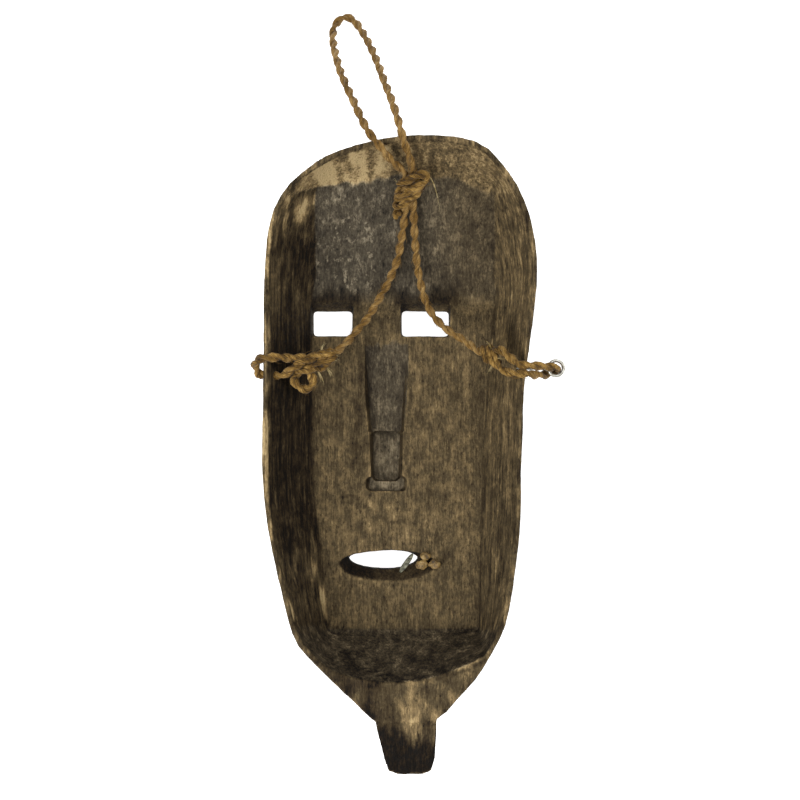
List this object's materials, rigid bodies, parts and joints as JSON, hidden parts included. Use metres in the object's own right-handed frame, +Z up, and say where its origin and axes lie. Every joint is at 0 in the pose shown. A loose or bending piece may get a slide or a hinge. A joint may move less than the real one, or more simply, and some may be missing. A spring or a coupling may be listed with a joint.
{
  "type": "carved wooden folk art mask",
  "caption": "Long narrow carved wooden mask lying face down: tray-like hollow back, eye and mouth slots, nose groove, chin tab and a knotted fibre hanging cord.",
  "frame": {"origin": "middle of the mask and its screw eye seen from above, at the surface that its brow and nose rest on; the cord isn't counted", "axes": "+Z up out of the hollow back, +Y towards the forehead, +X to the wearer's right as the open back is seen upright"},
  "size_m": [0.1969, 0.4906, 0.0871],
  "materials": {
    "mask_wood": "hand-carved softwood, smoke-darkened and dusty, unvarnished",
    "screw_steel": "zinc-plated wire, slightly tarnished",
    "dried_resin": "hardened yellow tree resin, dull",
    "dry_splinter": "dry grey-green bark strip",
    "agave_cord": "two-ply twisted agave fibre, golden brown, hairy"
  },
  "bodies": {
    "mask": {"mask_body": "mask_wood", "screw_eye": "screw_steel", "resin_lump_upper": "dried_resin", "resin_lump_lower": "dried_resin", "resin_lump_right": "dried_resin", "mouth_splinter": "dry_splinter", "left_tie_knot": "agave_cord", "left_tie_loop": "agave_cord", "left_tie_tail": "agave_cord", "right_tie_knot": "agave_cord", "right_tie_loop": "agave_cord"},
    "hanger": {"hanger_loop": "agave_cord", "left_leg": "agave_cord", "right_leg": "agave_cord", "top_knot": "agave_cord"}
  },
  "joints": [
    {"name": "hanger_swing", "type": "hinge", "parent": "mask", "child": "hanger", "pos_m": [0, 0.0645, 0.067], "axis": [1, 0, 0], "range_deg": [0, 110]}
  ]
}
